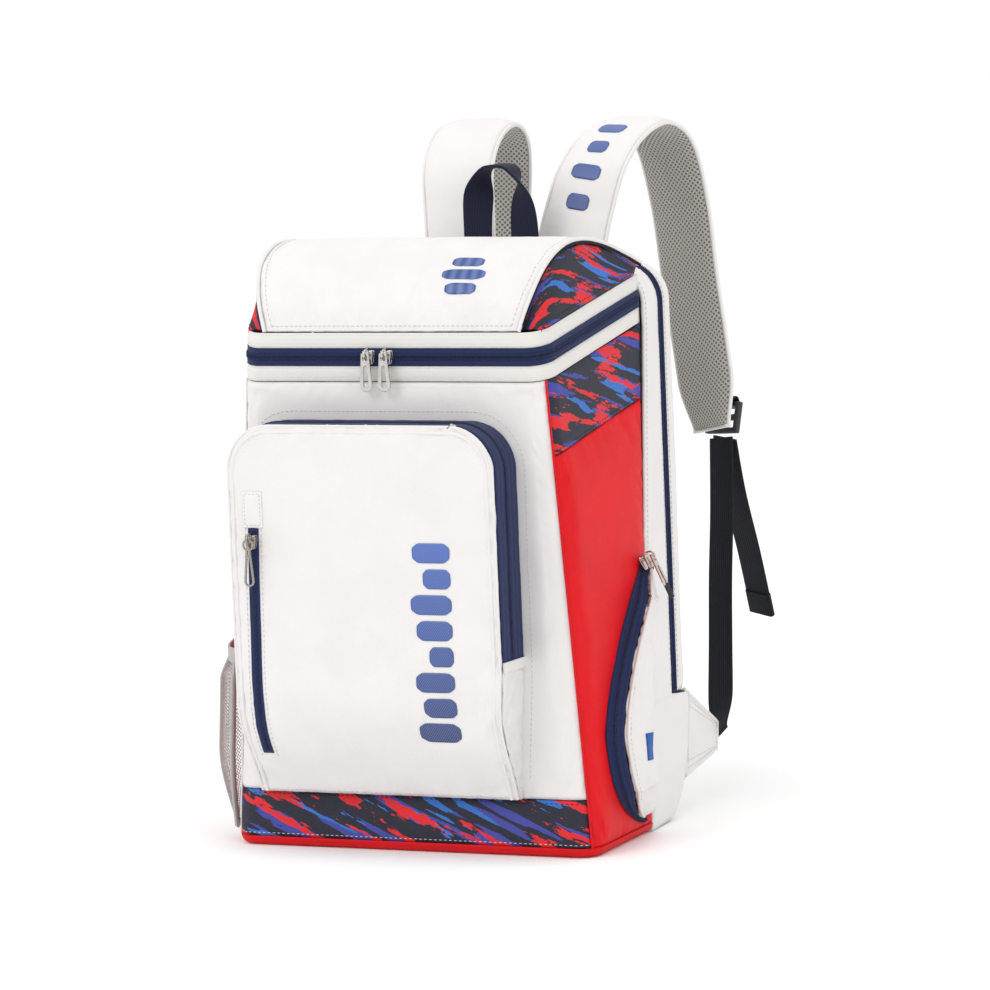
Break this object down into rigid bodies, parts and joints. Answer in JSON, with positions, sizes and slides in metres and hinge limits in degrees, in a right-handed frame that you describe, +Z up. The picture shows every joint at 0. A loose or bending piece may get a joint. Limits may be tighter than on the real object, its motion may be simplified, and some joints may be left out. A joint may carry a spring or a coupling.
{
  "type": "racket backpack",
  "caption": "Boxy racket backpack with a domed zip lid, clamshell rear compartment, bulging front and side pockets, printed panels and padded shoulder straps.",
  "frame": {"origin": "on the floor, on the flat bottom of the base tray, midway between the sides, 100 mm behind the front panel", "axes": "+Z up, -Y out of the front with its pockets, +Y out of the worn side, +X towards the side with the zipped pocket"},
  "size_m": [0.3499, 0.4949, 0.5432],
  "materials": {
    "white_coated_fabric": "satin pebbled coating on fabric",
    "red_coated_fabric": "satin pebbled coating on fabric",
    "red_base_board": "coated fabric over a stiff board",
    "printed_fabric": "twill printed with torn diagonal streaks in navy, blue and red",
    "cream_textile": "fine woven",
    "navy_zip": "ribbed zip tape",
    "navy_webbing": "ribbed webbing",
    "black_webbing": "ribbed webbing",
    "grey_air_mesh": "open mesh",
    "grey_lining": "plain weave",
    "black_plastic": "moulded, slightly grained",
    "nickel_plate": "polished nickel plate"
  },
  "bodies": {
    "pack": {"base_tray": "red_base_board", "divider": "grey_lining", "front_band": "printed_fabric", "front_panel": "white_coated_fabric", "front_pocket_gusset_left": "white_coated_fabric", "front_pocket_gusset_right": "white_coated_fabric", "front_pocket_panel": "white_coated_fabric", "front_pocket_zip": "navy_zip", "left_pocket_zip": "navy_zip", "lower_border": "cream_textile", "lower_zip_tape": "navy_zip", "mesh_pocket": "grey_air_mesh", "rear_foot": "white_coated_fabric", "rear_gusset": "white_coated_fabric", "rear_zip_front_tape": "navy_zip", "side_panel_left": "red_coated_fabric", "side_panel_right": "red_coated_fabric", "side_pocket_zip": "navy_zip", "side_print_left": "printed_fabric", "side_print_right": "printed_fabric", "slot_zip": "navy_zip", "strap_anchor_left": "white_coated_fabric", "strap_anchor_right": "white_coated_fabric"},
    "lid": {"lid_top": "white_coated_fabric", "lid_side_left": "printed_fabric", "lid_side_right": "printed_fabric", "upper_border": "cream_textile", "upper_zip_tape": "navy_zip"},
    "back_flap": {"back_panel": "grey_lining", "back_shell": "white_coated_fabric", "back_pad_left": "grey_air_mesh", "back_pad_right": "grey_air_mesh", "lumbar_pad": "grey_air_mesh", "rear_zip_rear_tape": "navy_zip", "webbing_left": "black_webbing", "webbing_right": "black_webbing"},
    "strap_left": {"shoulder_strap_left": "white_coated_fabric", "buckle_left": "black_plastic"},
    "strap_right": {"shoulder_strap_right": "white_coated_fabric", "buckle_right": "black_plastic"},
    "tail_left": {"webbing_tail_left": "black_webbing"},
    "tail_right": {"webbing_tail_right": "black_webbing"},
    "handle": {"grab_handle": "navy_webbing"},
    "side_flap": {"side_pocket_panel": "white_coated_fabric"},
    "lid_left_slider": {"lid_left_slider": "nickel_plate"},
    "lid_left_pull": {"lid_left_pull": "nickel_plate"},
    "lid_right_slider": {"lid_right_slider": "nickel_plate"},
    "lid_right_pull": {"lid_right_pull": "nickel_plate"},
    "slot_slider": {"slot_slider": "nickel_plate"},
    "slot_pull": {"slot_pull": "nickel_plate"},
    "front_pocket_slider": {"front_pocket_slider": "nickel_plate"},
    "front_pocket_pull": {"front_pocket_pull": "nickel_plate"},
    "side_pocket_slider": {"side_pocket_slider": "nickel_plate"},
    "side_pocket_pull": {"side_pocket_pull": "nickel_plate"},
    "left_pocket_slider": {"left_pocket_slider": "nickel_plate"},
    "left_pocket_pull": {"left_pocket_pull": "nickel_plate"},
    "rear_left_slider": {"rear_left_slider": "nickel_plate"},
    "rear_left_pull": {"rear_left_pull": "nickel_plate"},
    "rear_right_slider": {"rear_right_slider": "nickel_plate"},
    "rear_right_pull": {"rear_right_pull": "nickel_plate"}
  },
  "joints": [
    {"name": "lid_hinge", "type": "hinge", "parent": "pack", "child": "lid", "pos_m": [0, 0.0565, 0.4375], "axis": [-1, 0, 0], "range_deg": [0, 90]},
    {"name": "back_flap_hinge", "type": "hinge", "parent": "pack", "child": "back_flap", "pos_m": [0, 0.115, 0.099], "axis": [-1, 0, 0], "range_deg": [0, 25]},
    {"name": "side_flap_hinge", "type": "hinge", "parent": "pack", "child": "side_flap", "pos_m": [0.1495, 0.0316, 0.111], "axis": [-0.0318, 0.0852, 0.9959], "range_deg": [0, 50]},
    {"name": "strap_left_swing", "type": "hinge", "parent": "back_flap", "child": "strap_left", "pos_m": [-0.047, 0.125, 0.426], "axis": [-1, 0, 0], "range_deg": [-8, 25], "deforming": ["webbing_left"]},
    {"name": "tail_left_swing", "type": "hinge", "parent": "strap_left", "child": "tail_left", "pos_m": [-0.112, 0.269, 0.279], "axis": [1, 0, 0], "range_deg": [-25, 30]},
    {"name": "strap_right_swing", "type": "hinge", "parent": "back_flap", "child": "strap_right", "pos_m": [0.047, 0.125, 0.426], "axis": [-1, 0, 0], "range_deg": [-8, 25], "deforming": ["webbing_right"]},
    {"name": "tail_right_swing", "type": "hinge", "parent": "strap_right", "child": "tail_right", "pos_m": [0.112, 0.269, 0.279], "axis": [1, 0, 0], "range_deg": [-25, 30]},
    {"name": "handle_swing", "type": "hinge", "parent": "back_flap", "child": "handle", "pos_m": [0, 0.1015, 0.437], "axis": [-1, 0, 0], "range_deg": [-40, 12]},
    {"name": "lid_left_slide", "type": "slide", "parent": "pack", "child": "lid_left_slider", "axis": [1, 0, 0], "range_m": [-0.08, 0]},
    {"name": "lid_right_slide", "type": "slide", "parent": "pack", "child": "lid_right_slider", "axis": [1, 0, 0], "range_m": [0, 0.09]},
    {"name": "slot_slide", "type": "slide", "parent": "pack", "child": "slot_slider", "axis": [-0.0199, 0, -0.9998], "range_m": [0, 0.06]},
    {"name": "front_pocket_slide", "type": "slide", "parent": "pack", "child": "front_pocket_slider", "axis": [0, 0, 1], "range_m": [0, 0.04]},
    {"name": "side_pocket_slide", "type": "slide", "parent": "side_flap", "child": "side_pocket_slider", "axis": [0.2997, -0.6894, -0.6594], "range_m": [0, 0.02]},
    {"name": "left_pocket_slide", "type": "slide", "parent": "pack", "child": "left_pocket_slider", "axis": [0.0103, 0.8177, 0.5756], "range_m": [0, 0.095]},
    {"name": "rear_left_slide", "type": "slide", "parent": "back_flap", "child": "rear_left_slider", "axis": [1, 0, 0], "range_m": [-0.09, 0]},
    {"name": "rear_right_slide", "type": "slide", "parent": "back_flap", "child": "rear_right_slider", "axis": [1, 0, 0], "range_m": [0, 0.09]},
    {"name": "lid_left_pull_hinge", "type": "hinge", "parent": "lid_left_slider", "child": "lid_left_pull", "pos_m": [-0.0172, -0.1082, 0.382], "axis": [-1, 0, 0], "range_deg": [0, 150]},
    {"name": "lid_right_pull_hinge", "type": "hinge", "parent": "lid_right_slider", "child": "lid_right_pull", "pos_m": [-0.0019, -0.1082, 0.382], "axis": [-1, 0, 0], "range_deg": [0, 150]},
    {"name": "slot_pull_hinge", "type": "hinge", "parent": "slot_slider", "child": "slot_pull", "pos_m": [-0.10022, -0.153, 0.2455], "axis": [-1, 0, 0], "range_deg": [0, 150]},
    {"name": "front_pocket_pull_hinge", "type": "hinge", "parent": "front_pocket_slider", "child": "front_pocket_pull", "pos_m": [-0.1302, -0.122, 0.2525], "axis": [0, 1, 0], "range_deg": [0, 150]},
    {"name": "side_pocket_pull_hinge", "type": "hinge", "parent": "side_pocket_slider", "child": "side_pocket_pull", "pos_m": [0.15456, 0.02447, 0.2151], "axis": [-0.004, -1, 0], "range_deg": [0, 150]},
    {"name": "left_pocket_pull_hinge", "type": "hinge", "parent": "left_pocket_slider", "child": "left_pocket_pull", "pos_m": [-0.15255, -0.0733, 0.19303], "axis": [-0.0369, 0.9993, 0], "range_deg": [0, 150]},
    {"name": "rear_left_pull_hinge", "type": "hinge", "parent": "rear_left_slider", "child": "rear_left_pull", "pos_m": [-0.0095, 0.086, 0.4442], "axis": [0, 1, 0], "range_deg": [0, 150]},
    {"name": "rear_right_pull_hinge", "type": "hinge", "parent": "rear_right_slider", "child": "rear_right_pull", "pos_m": [0.0095, 0.086, 0.4442], "axis": [0, -1, 0], "range_deg": [0, 150]}
  ]
}
